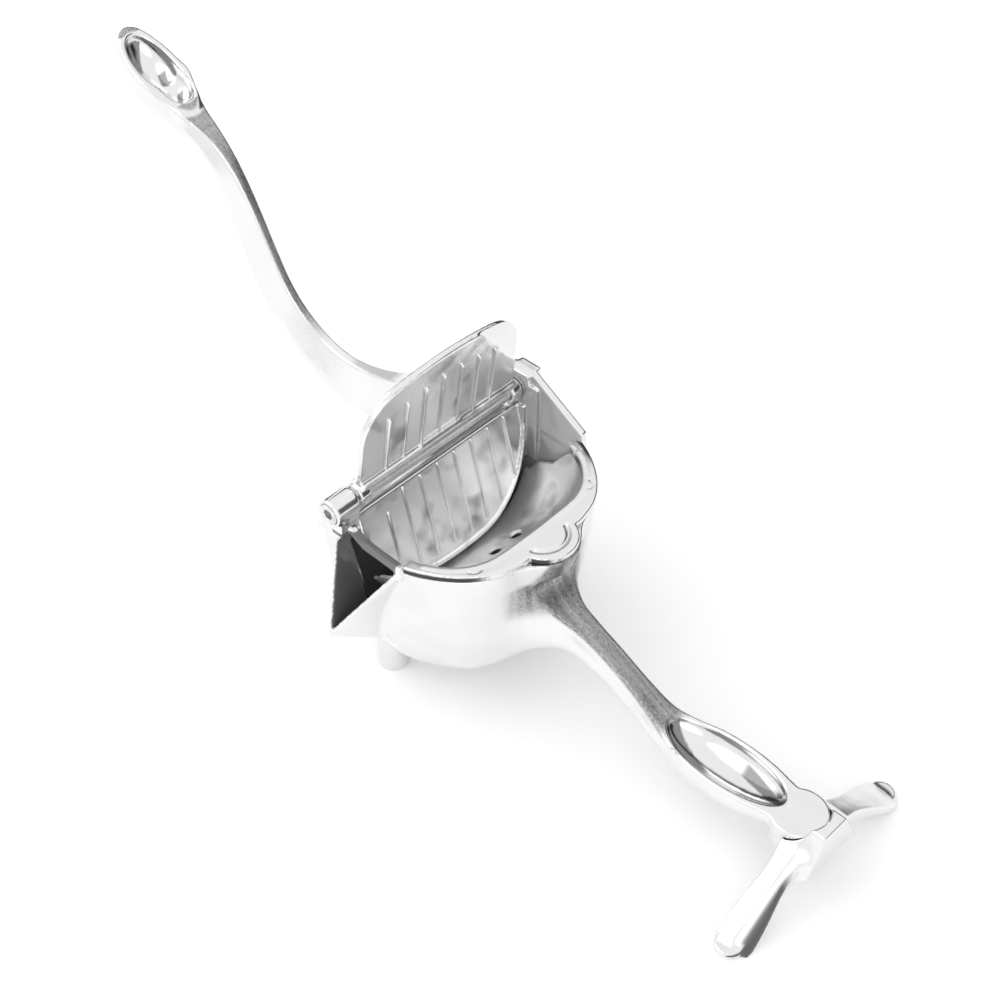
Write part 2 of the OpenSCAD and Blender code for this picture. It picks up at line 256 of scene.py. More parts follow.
# Lower handle: x, top, half width on top, half width of the flanks, depth.
HANDLE = [
    (46, -20, 30, 33, 48), (54, -27, 18, 21, 38), (61, -34, 11, 15, 27), (69, -41, 6.5, 10, 17),
    (79, -44.5, 4.6, 8, 13), (92, -50, 4.2, 7, 12), (105, -57, 4.4, 7.2, 11), (117, -63.6, 5.8, 8.4, 9.5),
    (126, HANDLE_TOP, 8.8, 10.4, 9), (136, HANDLE_TOP, 11.2, 12, 10), (148, HANDLE_TOP, 12.1, 12.6, 10),
    (160, HANDLE_TOP, 11.2, 11.6, 9), (170, HANDLE_TOP, 9.2, 9.6, 8), (REACH, HANDLE_TOP, 7.5, 8, 7)]
SCOOP_X, SCOOP_LONG, SCOOP_HALF, SCOOP_DEEP = 145.5, 26.5, 9.9, 7.6
DARK_REFLECTION = 0.68                      # how much a painted dark reflection takes from the grey of the scoop and the palm rest


def handle_field(x, y, z):
    """Lower handle with its round end and its scoop."""
    top = flow(x, HANDLE, 1)
    on_top, flank, depth = (flow(x, HANDLE, k) for k in (2, 3, 4))
    t = np.clip((top - z) / depth, 0, 1)
    width = on_top + (flank - on_top) * ramp(t, -0.1, 0.7)
    side = (np.abs(y) - width) * 0.95
    body = smax(side, top - depth - z, 5)
    body = smax(body, (z - top) * 0.9, 1.1)
    body = np.maximum(body, slab(x, 40, DISC_X))
    disc = smax(np.hypot(x - DISC_X, y) - DISC_R, slab(z, HANDLE_TOP - DISC_T, HANDLE_TOP), 0.8)
    body = np.minimum(body, disc)
    scoop = np.sqrt(((x - SCOOP_X) / SCOOP_LONG) ** 2 + (y / SCOOP_HALF) ** 2
                    + ((z - HANDLE_TOP - 0.6) / SCOOP_DEEP) ** 2)
    return smax(body, (1 - scoop) * SCOOP_DEEP, 0.7)


def tub_field(x, y, z):
    """Outside of the bowl, closed."""
    low = np.clip((RIM_Z - z) / (RIM_Z - BOWL_FLOOR), 0, 1)
    draft = 5 * low + 10 * low ** 4
    side = d_shape(x, y, RIM_HALF - draft, RIM_DEPTH - draft, RIM_CORNER, RIM_BOW)
    side = smax(side, -14 + 4 * low - x, 6)
    return smax(side, BOWL_FLOOR - z, 16)


def beak_planes(x, y, z, inset):
    """Back and front planes of the beak, moved inwards."""
    inside = (9, -50, -20)
    back = half_space(x, y, z, (BEAK_BACK, BEAK_KEEL, BEAK_LIP), inside)
    front = half_space(x, y, z, (BEAK_FRONT, BEAK_KEEL, BEAK_LIP), inside)
    return smax(back + inset, front + inset, 1.2)


def wall_frame(x, z):
    """Distance along the fixed ribbed wall from the hinge, and in front of its face."""
    return (x * math.cos(WALL_ANGLE) - z * math.sin(WALL_ANGLE),
            x * math.sin(WALL_ANGLE) + z * math.cos(WALL_ANGLE))


def fixed_wall(x, y, z, outer):
    """Fixed ribbed wall with a bead along its lower edge, and the bar over the bowl's back."""
    along, front = wall_frame(x, z)
    outline = d_shape(along, y, 45.0, WALL_REACH - 0.5, 33, 0.004)
    upper = np.maximum(np.abs(y) - 47.5, along - 18)
    wall = np.maximum(np.minimum(outline, upper), 3 - along)
    wall = smax(wall, slab(front, -WALL, 0), 0.6)
    bead = np.hypot(outline + 1.3, front - 0.1) - 1.15
    bead = np.maximum(bead, 18 - along)
    wall = smin(wall, bead, 0.5)
    bar = polygon(x, z, [(-14, -9), (-6, -9), (1.5, -7.3), (0, RIM_Z - 4), (-14, RIM_Z - 4)])
    wall = smax(smin(wall, bar, 2), CRADLE_R - np.hypot(x, z), 1.0)
    wall = np.maximum(wall, np.abs(y) - 48)
    # Below the rim it stays inside the bowl's outer face.
    return np.maximum(wall, outer + 1.2 - 32 * (z >= RIM_Z))


def add_beak(body, x, y, z, outer):
    """Pouring beak, and its window under the near cheek's bar."""
    lips = half_space(x, y, z, (BEAK_BACK, BEAK_FRONT, BEAK_LIP), (9, -50, -60))
    hollow = beak_planes(x, y, z, BEAK_T)
    shell = smax(beak_planes(x, y, z, 0), lips, 0.5)
    # Its root overlaps the bowl's wall by a little, and nothing of it stands on the rim.
    shell = np.maximum(shell, y + 40)
    shell = np.maximum(shell, -outer - 1.5 + 20 * (z > RIM_Z))
    shell = smax(shell, BEAK_LIP[1] + 0.8 - y, 0.8)
    shell = np.maximum(shell, -hollow)
    body = smin(body, shell, 0.7)
    window = polygon(x, z, [(-2.5, -11), (2.5, -8.5), (6, -12), (11, -14.6), (31, -15), (24, -90),
                            (-8, -90)])
    window = np.maximum(np.maximum(hollow, window), slab(y, -80, -43))
    open_top = np.where(y < -49.8, lips, NO_LIMIT)
    return smax(body, -np.maximum(window, open_top), 0.5)


def add_ears(body, x, y, z):
    """Near boss on a short column, and the far block with two flat pads on its inside."""
    radius = np.hypot(x, z)
    boss = smax(radius - EAR_R, slab(y, NEAR_END, -EAR_IN), 0.9)
    column = smax(slab(x, -EAR_R + 0.5, 4.2), slab(y, NEAR_END + 2, -EAR_IN + 0.2), 0.7)
    column = smax(column, slab(z, -11, 0), 0.7)
    body = smin(body, smin(boss, column, 0.6), 0.7)

    block = smax(slab(x, -4.8, 5.6), smax(slab(z, -13, 7), slab(y, EAR_IN, FAR_END), 0.8), 0.8)
    pad = smax(slab(x, -4, 5.4), smax(slab(z, -34, 0), slab(y, EAR_IN - 1.8, CHEEK_Y), 0.4), 0.5)
    pad = np.maximum(pad, np.where(z > -7.5, EAR_IN + 0.1 - y, NO_LIMIT))
    step = smax(slab(x, 5, 10.3), smax(slab(z, -34, 2.6), slab(y, EAR_IN + 0.3, CHEEK_Y), 0.4), 0.4)
    step = np.maximum(step, (z - 7) + (x - 6.2) * 0.6)
    body = smin(body, np.minimum(np.minimum(block, pad), step), 0.4)

    # Bore for the bolt, and room for its head.
    body = smax(body, ROD_R + 0.1 - radius, 0.3)
    recess = np.maximum(radius - RECESS_R, y - NEAR_END - RECESS_DEEP)
    body = smax(body, -recess, 0.4)
    # The far block is closed behind the bolt's end.
    return np.minimum(body, np.maximum(radius - ROD_R - 0.6, slab(y, FAR_END - 4, FAR_END - 1)))


def bowl_field(x, y, z):
    """The whole bowl casting."""
    outer = tub_field(x, y, z)
    lug = smax(np.hypot(x - LUG_X, y) - LUG_R - 0.3 * (z - RIM_Z), slab(z, RIM_Z - 10, RIM_Z + 4), 1)
    body = smin(smin(outer, lug, 7), handle_field(x, y, z), 7)
    for side in (-1, 1):
        peg = np.hypot(x - PEG_X, y - side * PEG_Y) - PEG_R
        peg = smax(peg, slab(z, FLOOR, FLOOR + PEG_H), 0.8)
        body = smin(body, peg, 2.5)
    body = np.maximum(body, -(outer + WALL))
    body = smax(body, z - RIM_Z, 0.6)

    # Cheeks that climb from the rim to the hinge.
    near_outline = [(-14, -18), (-12, -12), (-4.5, -2), (1.5, -4.6), (5.5, -8.6), (11, -11.1), (20, -11.7),
                    (30.5, -11.8), (30.5, -18)]
    far_outline = [(-14, -18), (-14, -4), (-6, 7), (6.2, 7), (32, -8.4), (32, -18)]
    for middle, outline in ((-CHEEK_Y, near_outline), (CHEEK_Y, far_outline)):
        cheek = smax(polygon(x, z, outline), np.abs(y - middle) - WALL / 2, 0.7)
        body = smin(body, cheek, 0.8)

    body = smin(body, fixed_wall(x, y, z, outer), 0.8)
    body = add_beak(body, x, y, z, outer)
    return add_ears(body, x, y, z)


def paint_bowl(piece):
    """Brushed handle top, satin ribbed wall; painted shade inside the beak, low in the sump and on the
    cheeks' inner faces, and painted dark reflections in the scoop.
    """
    co, normal = vertex_data(piece)
    px, py, pz = co.T
    top = flow(px, HANDLE, 1)
    half = flow(px, HANDLE, 2)
    on_top = ramp(pz - top, -2.2, -0.8) * ramp(np.abs(py) - half, 1.6, 0.2)
    brushed = on_top * ramp(px, 56, 64) * ramp(px, 124, 118)
    band = ramp(normal[:, 0], 0.35, 0.7) * ramp(pz, -24, -27) * ramp(pz, -44, -36)
    band *= ramp(np.abs(py + 1), 24, 14) * (px > 48)

    along, front = wall_frame(px, pz)
    face = (np.abs(front) < 1.3) & (along > 9) & (np.abs(py) < 46.2)

    in_beak = (py < -46) & (normal[:, 1] < 0.9) & (pz > -76) & (pz < -9) & (px > -6) & (px < 28)
    in_beak &= beak_planes(px, py, pz, BEAK_T - 0.4) < 0
    sump = (tub_field(px, py, pz) < -WALL + 0.5) & (pz < RIM_Z - 4) & ~face
    # Painted shade: deep inside the beak, and lighter in the sump.
    tone = np.where(in_beak, 0.2, np.where(sump, 0.45, 1.0))
    # Painted shade on the inner faces of the cheeks, lighter towards the front.
    facing_in = (normal[:, 1] * np.sign(-py) > 0.6) & (np.abs(py) < 47) & (px > -8) & (px < 46)
    tone = np.where(facing_in & (pz > -60), 0.52 + 0.2 * ramp(px, 0, 30), tone)
    matt = tone < 0.9

    # Painted dark reflections in the scoop.
    scoop = (np.abs(px - SCOOP_X) < SCOOP_LONG) & (np.abs(py) < SCOOP_HALF)
    scoop &= (pz < HANDLE_TOP - 0.3) & (normal[:, 2] > 0.3)
    tone = tone * (1 - DARK_REFLECTION * scoop * reflections(normal[:, 0], normal[:, 1]))
    paint(piece, np.maximum(brushed, band), face, matt, tone)


def make_bowl():
    step = 0.6
    low = (-18.0, -67.0, FLOOR - 1.8)
    x, y, z = lattice(low, (REACH + 2, 58.0, 9.0), step)
    field = bowl_field(x, y, z)
    piece = grow("bowl_casting", field, low, step, "frame",
                 ("bowl_tub", "standing_pegs", "near_ear", "far_ear", "ribbed_wall", "pouring_beak",
                  "lower_handle"))
    paint_bowl(piece)
    return piece


# ---------------------------------------------------------------- strainer

HOLE_R = 1.9
HOLE_ROWS = (26, 38, 50, 62)
HOLE_COLUMNS = (-18, -6, 6, 18)
WAVE = [(37, -9.5), (33, -13.5), (28, -17.8), (24, -22.5), (20.5, -27.2), (16, -29.6), (12.5, -31.6),
        (9.5, -36)]


def strainer_field(x, y, z):
    """Thin shell turned about the hinge axis, and the collar that lies on the rim."""
    radius = np.hypot(x, z)
    angle = np.arctan2(-z, x)
    inner = d_shape(radius, y, STRAINER_HALF, STRAINER_DEPTH, STRAINER_CORNER, 0.0014)
    shell = slab(inner, 0, STRAINER_T)
    shell = np.maximum(shell, radius * np.sin(angle - math.radians(79)))
    shell = np.maximum(shell, z - RIM_Z - FLANGE_T)
    # Side walls are cut down to a wavy edge.
    cut = polygon(x, z, [(-60, 40), (37, 40)] + WAVE + [(-60, -60)])
    cut = np.maximum(cut, 30 - np.abs(y))
    shell = smax(shell, -cut, 0.5)
    # Drain holes with small countersinks.
    for degrees in HOLE_ROWS:
        a = math.radians(degrees)
        out = x * math.cos(a) - z * math.sin(a)
        across = x * math.sin(a) + z * math.cos(a)
        for row_y in HOLE_COLUMNS:
            gap = np.hypot(across, y - row_y)
            sink = 0.6 * np.clip(STRAINER_DEPTH + 0.8 - out, 0, 1)
            hole = np.maximum(gap - HOLE_R - sink, 40 - out)
            shell = smax(shell, -hole, 0.3)
    # Small boss in the near front corner.
    cone = np.hypot(x - 45.0, y + 27.0) - 2.2 + 0.55 * np.maximum(z + 22, 0)
    cone = np.maximum(cone, slab(z, -30, -17.5))
    shell = smin(shell, np.maximum(cone, inner), 0.6)

    outline = d_shape(x, y, RIM_HALF + 0.2, RIM_DEPTH + 0.3, RIM_CORNER, RIM_BOW)
    tab = np.hypot(x - LUG_X, y) - TAB_R
    outline = smin(outline, tab, 1.0)
    for side in (-1, 1):
        notch = smax(np.abs(x - 62.5) - 2.6, np.abs(y - side * 13.6) - 1.5, 0.4)
        outline = smax(outline, -notch, 0.4)
    hole = d_shape(x, y, STRAINER_HALF - 0.2, STRAINER_DEPTH - 1.2, STRAINER_CORNER, 0.002)
    plan = np.maximum(np.maximum(outline, -hole), 29.2 - x)
    flange = smax(plan, slab(z, RIM_Z + 0.1, RIM_Z + FLANGE_T), 0.6)
    # Groove that follows the front of the tab.
    groove = np.maximum(np.abs(np.hypot(x - 54, y) - 9.8) - 0.6, 57.5 - x)
    groove = np.maximum(groove, RIM_Z + FLANGE_T - 0.8 - z)
    flange = smax(flange, -groove, 0.4)
    # Round marks left by the ejector pins.
    for side in (-1, 1):
        ring = np.abs(np.hypot(x - 48.5, y - side * 30.5) - 2.6) - 0.25
        flange = smax(flange, -np.maximum(ring, RIM_Z + FLANGE_T - 0.3 - z), 0.3)
    return smin(shell, flange, 1.0)


def paint_strainer(piece):
    """Satin inside with a little painted shade, painted shade in the drain holes, and painted dark
    reflections on the collar at its front corners.
    """
    co, normal = vertex_data(piece)
    px, py, pz = co.T
    inside = pz < RIM_Z - 0.5
    edge = d_shape(px, py, RIM_HALF, RIM_DEPTH, RIM_CORNER, RIM_BOW)
    outside = (pz > RIM_Z - 0.2) & (edge > -2.5)
    # Painted dark reflection: on the near corner's side face, and on the far one along the edge of its top.
    facing = np.degrees(np.arctan2(normal[:, 1], normal[:, 0]))
    corner = ramp(facing, -80, -72) * ramp(facing, -28, -42) * (normal[:, 2] < 0.5)
    middle_x, middle_y = RIM_DEPTH - RIM_CORNER - RIM_BOW * py * py, RIM_HALF - RIM_CORNER
    round_far = np.degrees(np.arctan2(py - middle_y, px - middle_x))
    corner = corner + ramp(edge, -2.4, -1.6) * ramp(round_far, 38, 55) * ramp(round_far, 92, 75)
    holes = np.zeros(len(co), bool)
    for degrees in HOLE_ROWS:
        across = px * math.sin(math.radians(degrees)) + pz * math.cos(math.radians(degrees))
        for row_y in HOLE_COLUMNS:
            holes |= np.hypot(across, py - row_y) < HOLE_R + 0.3
    holes &= inside & (np.hypot(px, pz) > 40)
    # Painted dark reflections at the collar's corners and a little painted shade on the inside; the drain
    # holes get deep painted shade below.
    tone = np.where(outside, 1 - 0.92 * np.clip(corner, 0, 1), np.where(inside, 0.96, 1.0))
    paint(piece, mottle=0.8 * inside, matt=np.where(holes, 1.0, 0.45 * inside),
          tone=np.where(holes, 0.12, tone))


def make_strainer():
    step = 0.5
    low = (6.0, -52.0, -57.0)
    x, y, z = lattice(low, (71.0, 52.0, -9.5), step)
    piece = grow("strainer_casting", strainer_field(x, y, z), low, step, "frame",
                 ("strainer",))
    paint_strainer(piece)
    return piece


# ---------------------------------------------------------------- lever casting

# Arm: x and z of its middle line, depth, half width on the inner face, half width on the palm side.
ARM = [
    (-1, 15, 30, 5.5, 8.5), (-14, 10.5, 22, 4.0, 8.4), (-25, 7.6, 19, 3.0, 8.2), (-36, 6.0, 17, 2.3, 8.1),
    (-47, 5.8, 15.5, 1.9, 8), (-58, 8.4, 14, 1.8, 7.8), (-68.5, 13.8, 13, 1.7, 7.6),
    (-77.5, 20.7, 12.6, 1.7, 7.5), (-84.6, 29.4, 12.4, 1.7, 7.5), (-90.6, 40.4, 12, 1.7, 7.4),
    (-96.6, 52.4, 11.4, 1.8, 7.2), (-102.6, 63.4, 10.6, 2.0, 7.0), (-108.4, 72.2, 9.4, 2.3, 7),
    (-115, 78.6, 8.6, 3.0, 7.2), (-122.5, 82.8, 8, 4.4, 7.6), (-131, 85.8, 8, 6.0, 8.2),
    (-139, 87.8, 8.4, 6.5, 8.4), (-147, 90.2, 8.6, 6.5, 8), (-155, 93.6, 8, 5, 6)]
REST_X, REST_Z, REST_TILT = -146.3, 95.2, math.radians(27)
REST_LONG, REST_HALF = 20.5, 9.8


def arm_path():
    """The arm's middle line in short steps, with its section at each."""
    count = np.arange(len(ARM), dtype=float)
    table = [(i,) + s for i, s in zip(count, ARM)]
    fine = np.linspace(0, len(ARM) - 1, 220)
    return [flow(fine, table, k) for k in range(1, 6)]


def plate_frame(x, z):
    """Distance along the press plate from the hinge, and in front of its middle."""
    return (x * math.cos(PLATE_ANGLE) + z * math.sin(PLATE_ANGLE),
            x * math.sin(PLATE_ANGLE) - z * math.cos(PLATE_ANGLE))


def rounded(u, v, half, depth, corner):
    """Outline of the press plate: a rectangle from the hinge with two round corners."""
    qu = u + 0.0035 * v * v - (depth - corner)
    qv = np.abs(v) - (half - corner)
    d = np.hypot(np.maximum(qu, 0), np.maximum(qv, 0)) + np.minimum(np.maximum(qu, qv), 0) - corner
    return np.maximum(d, -u)


def arm_field(x, y, z):
    """Arm swept along its middle line: narrow inner face, wide palm side."""
    px, pz, depth, inner, palm = arm_path()
    tx, tz = np.gradient(px), np.gradient(pz)
    length = np.hypot(tx, tz)
    tx, tz = tx / length, tz / length
    flat = np.broadcast(x, z).shape
    best = np.full(flat, 1e9, np.float32)
    pick = np.zeros(flat, int)
    for i in range(len(px)):
        gap = (x - px[i]) ** 2 + (z - pz[i]) ** 2
        nearer = gap < best
        best = np.where(nearer, gap, best)
        pick[nearer] = i
    dx, dz = x - px[pick], z - pz[pick]
    across = dz * -tx[pick] + dx * tz[pick]      # positive towards the inner face
    beyond = dx * tx[pick] + dz * tz[pick]
    depth, inner, palm = depth[pick], inner[pick], palm[pick]
    width = palm + (inner - palm) * np.clip(across / depth + 0.5, 0, 1)
    side = (np.abs(y) - width) * 0.93
    body = smax(side, -across - depth / 2, 4)
    body = smax(body, across - depth / 2, 0.6)
    return np.maximum(body, np.abs(beyond) - 0.6)


def rest_frame(x, z):
    """Distance along the palm rest from its middle, and above it."""
    return ((x - REST_X) * math.cos(REST_TILT) - (z - REST_Z) * math.sin(REST_TILT),
            (x - REST_X) * math.sin(REST_TILT) + (z - REST_Z) * math.cos(REST_TILT))


def rest_field(x, y, z):
    """Palm rest, and the hollow in its top."""
    u, w = rest_frame(x, z)
    plan = (np.sqrt((u / REST_LONG) ** 2 + (y / REST_HALF) ** 2) - 1) * REST_HALF
    lift = 1.6 * ramp(y, 0, REST_HALF) * np.exp(-((u - 6) / 5) ** 2)
    lift = lift + 1.2 * ramp(-u, REST_LONG - 9, REST_LONG)
    body = smax(plan + 0.3 * np.clip(2 - w, 0, 9) - 0.3, slab(w, -6.5, 4.4 + lift), 1.2)
    # The hollow is an oval with a narrower lobe towards the neck.
    main = np.sqrt(((u + 2.5) / 14.5) ** 2 + (y / 7.4) ** 2 + ((w - 5.2) / 7.5) ** 2)
    lobe = np.sqrt(((u - 9.5) / 8.2) ** 2 + ((y - 1.0) / 6.2) ** 2 + ((w - 5.2) / 6.5) ** 2)
    return body, smin((main - 1) * 7, (lobe - 1) * 6, 1.2)


def lever_field(x, y, z):
    """The whole lever casting."""
    along, front = plate_frame(x, z)
    radius = np.hypot(x, z)
    pad = rounded(along, y, PAD_HALF, PAD_DEPTH, PAD_CORNER)
    # The pad's far corner is cut off along a slant, which leaves the lid showing there.
    slant = np.hypot(PAD_DEPTH - 20, 22)
    corner = ((along - 18) * 22 + (y - 40) * (PAD_DEPTH - 20)) / slant
    pad = smax(smax(pad, corner, 1.0), slab(front, PAD_FACE - PAD_T - 1, PAD_FACE), 0.5)
    lid = rounded(along, y, PAD_HALF + LID_MARGIN, PAD_DEPTH + LID_MARGIN, PAD_CORNER + LID_MARGIN)
    lid = smax(lid, 4 - along, 0.5)
    near_side = np.maximum(lid, 31 - along + 4 * (np.abs(y) < PAD_HALF - 1))
    lid = np.maximum(lid, np.where(along < 31, np.abs(y) - PAD_HALF, lid))
    lid = smax(np.minimum(lid, near_side), slab(front, PAD_FACE - PAD_T - LID_T, PAD_FACE - PAD_T), 0.7)
    plate = smin(pad, lid, 0.4)

    hub = smax(radius - HUB_R, np.abs(y) - PAD_HALF, 0.8)
    # The hub leaves the rod's front bare.
    bare_from = math.radians(48)
    bare = np.maximum(-(x * math.sin(bare_from) - z * math.cos(bare_from)) - 0.2, -x - 1)
    hub = smax(hub, -bare, 0.5)
    body = smin(plate, hub, 1.5)
    for side in (-1, 1):
        lug = smax(radius - LEVER_LUG_R, slab(y * side, PAD_HALF - 3, LEVER_LUG_END), 0.5)
        body = smin(body, lug, 0.6)
    body = smin(body, smax(arm_field(x, y, z), front - PAD_FACE + 1.2, 0.5), 4)
    rest, hollow = rest_field(x, y, z)
    body = smax(smin(body, rest, 3), -hollow, 0.6)
    body = smax(body, front - PAD_FACE - 6 * (along < 8), 0.3)
    return smax(body, ROD_R + 0.05 - radius, 0.3)


def paint_lever(piece):
    """Satin ribbed face, brushed inner face of the arm, painted dark reflections in the palm rest."""
    co, normal = vertex_data(piece)
    px, py, pz = co.T
    along, front = plate_frame(px, pz)
    face = (front > PAD_FACE - 0.7) & (along > 4.5) & (px > -8)
    # How squarely the surface faces the arm's inner side.
    cx, cz = arm_path()[:2]
    near = ((px[:, None] - cx) ** 2 + (pz[:, None] - cz) ** 2).argmin(1)
    tx, tz = np.gradient(cx), np.gradient(cz)
    size = np.hypot(tx, tz)
    up = normal[:, 2] * -tx[near] / size[near] + normal[:, 0] * tz[near] / size[near]
    bright = ramp(px, -72, -56) * (px < -8) * ramp(up, 0.9, 0.97)
    arm = (px < -38) & (px > -129)
    brushed = arm * ramp(up, 0.93, 0.985) * (1 - bright)
    u, w = rest_frame(px, pz)
    tips = (px < -131) * ramp(normal[:, 2], 0.7, 0.85) * (np.abs(u + 1) > 16.5)
    turned = normal[:, 0] * math.cos(REST_TILT) - normal[:, 2] * math.sin(REST_TILT)
    hollow = (px < -128) & (np.abs(u) < 18) & (np.abs(py) < 7.6) & (np.abs(w + 0.05) < 3.95)
    hollow &= normal[:, 2] > 0.2
    # Painted dark reflections in the palm rest's hollow.
    paint(piece, np.maximum(brushed, tips), face, bright,
          1 - DARK_REFLECTION * hollow * reflections(turned, normal[:, 1]))


def make_lever():
    step = 0.5
    low = (-168.0, -46.0, -9.0)
    x, y, z = lattice(low, (10.0, 46.0, 112.0), step)
    piece = grow("lever_casting", lever_field(x, y, z), low, step, "lever",
                 ("press_plate", "lever_arm"))
    paint_lever(piece)
    return piece


# ---------------------------------------------------------------- foot

def foot_field(x, y, z):
    """Cross foot: block, two drooping legs and the round seat for the handle's end."""
    side = np.abs(y)
    seat = HANDLE_TOP - DISC_T
    mid_x, leg_r = REACH - 8.4, 6.9
    end_y = FOOT_Y - 1 - leg_r
    # Legs droop from the block to rounded ends; their fronts fall away in a curve.
    level = seat + 3.5 - 0.5 * (side - 12) - 0.0036 * (side - 12) * np.abs(side - 12)
    level = level - np.where(y < 0, 0.075, 0.03) * np.maximum(x - mid_x, 0) ** 2
    level = level - 3.5 * ramp(np.hypot(x - mid_x, side - end_y) * (side > end_y), leg_r - 3.5, leg_r + 1)
    waist = np.exp(-((side - 21) / 11) ** 2)
    strip = np.abs(x - mid_x + 0.6 - 0.03 * side) - leg_r + 1.9 * waist
    plan = np.minimum(smax(strip, side - end_y, 0.3), np.hypot(x - mid_x, side - end_y) - leg_r)
    under = 7 - 1.6 * ramp(side, 10, 36)
    leg = smax(plan, smax((z - level) * 0.85, level - under - z, 1), 1.2)
    foot_pad = smax(np.hypot(x - mid_x, side - end_y) - leg_r + 1.5, slab(z, FLOOR, FLOOR + 3), 0.8)
    block = smax(side - 6.4 - 0.5 * np.maximum(HANDLE_TOP + 4 - z, 0), slab(x, DISC_X + 2, REACH), 0.7)
    block = smax(block, slab(z, seat - 6, HANDLE_TOP + 4), 0.7)
    seat_pad = smax(np.hypot(x - DISC_X, y) - DISC_R + 0.6, slab(z, seat - 6, seat), 0.8)
    body = np.minimum(smin(smin(leg, foot_pad, 1.5), block, 3), seat_pad)
    body = smax(body, FLOOR - z, 0.4)
    well = np.maximum(np.hypot(x - DISC_X, y) - DISC_R - 0.35, seat - z)
    return smax(body, -well, 0.4)


def make_foot():
    step = 0.45
    low = (DISC_X - 14.0, -FOOT_Y - 2.0, FLOOR - 1.2)
    x, y, z = lattice(low, (REACH + 2, FOOT_Y + 2, HANDLE_TOP + 6.0), step)
    piece = grow("foot_casting", foot_field(x, y, z), low, step, "frame", ("foot_bracket",))
    # Painted dark reflection on the near leg's front, where it would mirror the dark side of the studio.
    co, normal = vertex_data(piece)
    front = ramp(co[:, 1], -16, -24) * ramp(normal[:, 0], 0.28, 0.5) * (normal[:, 2] > 0.05)
    paint(piece, mottle=0.15, tone=1 - 0.84 * front)
    return piece


# ---------------------------------------------------------------- ribs

SUNK = 0.35                            # how deep a rib's foot is sunk in the face
RUN_OUT = [(0, 0.1), (0.25, 0.6), (0.7, 0.9), (1.3, 1)]     # distance from a rib's end, share of its height


def rib_points(start, end, side, out, half, height):
    """Rounded bar from start to end, with its crest towards out and both ends run out."""
    lengthwise = np.linalg.norm(end - start)
    arc = np.linspace(0, math.pi, 9)
    places = [(d / lengthwise, size) for d, size in RUN_OUT]
    places += [(0.5, 1)] + [(1 - share, size) for share, size in reversed(places)]
    rings = []
    for share, size in places:
        at = start + (end - start) * share
        rings.append([at + side * (half * np.cos(a)) + out * (height * size * np.sin(a) ** 0.8 - SUNK)
                      for a in arc])
    return np.array(rings)


def make_ribs(name, bars, body):
    """All ribs of one face as one piece. A bar is start, end, sideways and outward directions."""
    points, faces = [], []
    for start, end, side, out in bars:
        rings = rib_points(start, end, side, out, RIB_HALF, RIB_H + SUNK)
        rows, columns = rings.shape[:2]
        base = sum(len(p) for p in points)
        points.append(rings.reshape(-1, 3))
        for r in range(rows - 1):
            for c in range(columns - 1):
                a = base + r * columns + c
                faces.append((a, a + columns, a + columns + 1, a + 1))
            a = base + r * columns
            faces.append((a + columns - 1, a + 2 * columns - 1, a + columns, a))
        faces.append(tuple(base + c for c in range(columns)))
        faces.append(tuple(base + (rows - 1) * columns + c for c in reversed(range(columns))))
    piece = mesh_object(name, place(np.concatenate(points)), faces, body)
    fine = piece.modifiers.new("fine", "SUBSURF")
    fine.levels = fine.render_levels = 1
    paint(piece, mottle=0.3)
    return piece


def wall_ribs():
    """Ribs of the fixed wall; the first one starts lower, beside the near lug."""
    down = np.array([math.cos(WALL_ANGLE), 0, -math.sin(WALL_ANGLE)])
    out = np.array([math.sin(WALL_ANGLE), 0, math.cos(WALL_ANGLE)])
    across = np.array([0, 1.0, 0])
    bars = []
    for i in range(WALL_RIBS):
        y = (i + FIRST_WALL_RIB) * RIB_GAP
        reach = 20 + 26 * math.sqrt(max(0.0, 1 - ((abs(y) - 8) / 34) ** 2)) if abs(y) > 8 else 46.0
        start = 8.0 if i else 14.0
        bars.append((down * start + across * y, down * reach + across * y, across, out))
    return make_ribs("fixed_ribs", bars, "frame")


def plate_ribs():
    """Ribs of the press plate, a little shorter towards its sides."""
    up = np.array([math.cos(PLATE_ANGLE), 0, math.sin(PLATE_ANGLE)])
    out = np.array([math.sin(PLATE_ANGLE), 0, -math.cos(PLATE_ANGLE)])
    across = np.array([0, 1.0, 0])
    bars = []
    for i in range(PLATE_RIBS):
        y = (i + FIRST_PLATE_RIB) * RIB_GAP
        reach = 37.0 - 0.006 * y * y
        base = across * y + out * PAD_FACE
        bars.append((up * 4.2 + base, up * reach + base, across, out))
    return make_ribs("lever_ribs", bars, "lever")


# ---------------------------------------------------------------- materials

